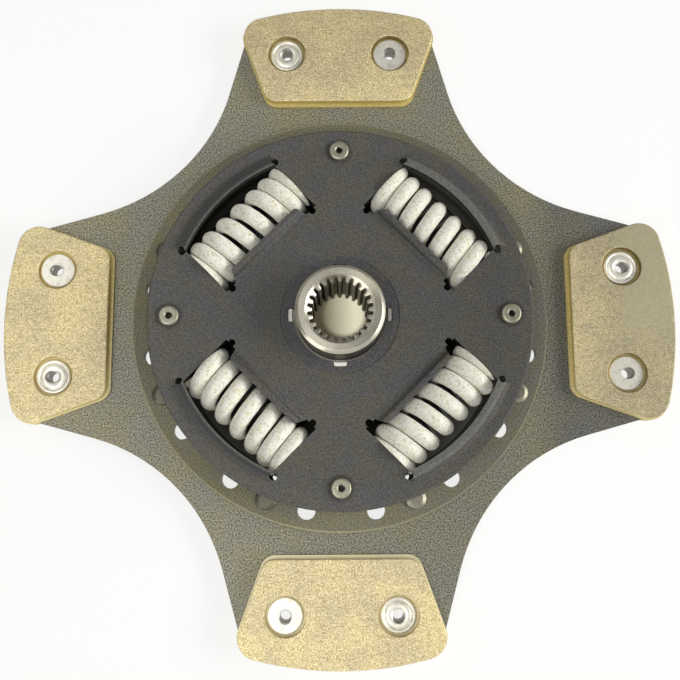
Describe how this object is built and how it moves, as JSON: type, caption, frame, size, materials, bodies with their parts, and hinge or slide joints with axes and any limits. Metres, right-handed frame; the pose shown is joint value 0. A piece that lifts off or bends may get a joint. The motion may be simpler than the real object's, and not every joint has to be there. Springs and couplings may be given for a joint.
{
  "type": "clutch disc",
  "caption": "Four-paddle clutch disc with sintered pads, a splined hub and a sprung centre that twists against its plates.",
  "frame": {"origin": "on the hub's axis, in the plane of the lower friction face (the flywheel side)", "axes": "+Z along the hub's axis to the gearbox side, +X and +Y along two paddles"},
  "size_m": [0.228, 0.228, 0.03],
  "materials": {
    "hub_steel": "machined, bright",
    "cover_steel": "dark phosphate",
    "drive_steel": "dark phosphate, oiled",
    "carrier_steel": "matte, olive grey",
    "friction_lining": "sintered, matte",
    "backing_steel": "copper plated, matte",
    "spring_paint": "cream paint",
    "rivet_steel": "zinc plated",
    "friction_plastic": "plain",
    "spring_steel": "hardened, dark"
  },
  "bodies": {
    "disc": {"bottom_backing_1": "backing_steel", "bottom_backing_2": "backing_steel", "bottom_backing_3": "backing_steel", "bottom_backing_4": "backing_steel", "bottom_pad_1": "friction_lining", "bottom_pad_2": "friction_lining", "bottom_pad_3": "friction_lining", "bottom_pad_4": "friction_lining", "carrier_rivets": "rivet_steel", "carrier_star": "carrier_steel", "disc_spring": "spring_steel", "drive_plate": "drive_steel", "friction_bush": "friction_plastic", "friction_ring": "friction_plastic", "pad_rivets": "rivet_steel", "retainer_plate": "cover_steel", "stop_rivets": "rivet_steel", "top_backing_1": "backing_steel", "top_backing_2": "backing_steel", "top_backing_3": "backing_steel", "top_backing_4": "backing_steel", "top_pad_1": "friction_lining", "top_pad_2": "friction_lining", "top_pad_3": "friction_lining", "top_pad_4": "friction_lining"},
    "hub": {"hub": "hub_steel"},
    "springs": {"spring_1": "spring_paint", "spring_2": "spring_paint", "spring_3": "spring_paint", "spring_4": "spring_paint"}
  },
  "joints": [
    {"name": "hub_twist", "type": "hinge", "parent": "disc", "child": "hub", "pos_m": [0, 0, 0.01215], "axis": [0, 0, 1], "range_deg": [-6, 6], "stiffness_Nm_per_rad": 40, "deforming": ["spring_1", "spring_2", "spring_3", "spring_4"]},
    {"name": "spring_follow", "type": "hinge", "parent": "disc", "child": "springs", "pos_m": [0, 0, 0.01215], "axis": [0, 0, 1], "range_deg": [-3, 3]}
  ],
  "couplings": [
    {"joint": "spring_follow", "follows": "hub_twist", "ratio": 0.5}
  ]
}
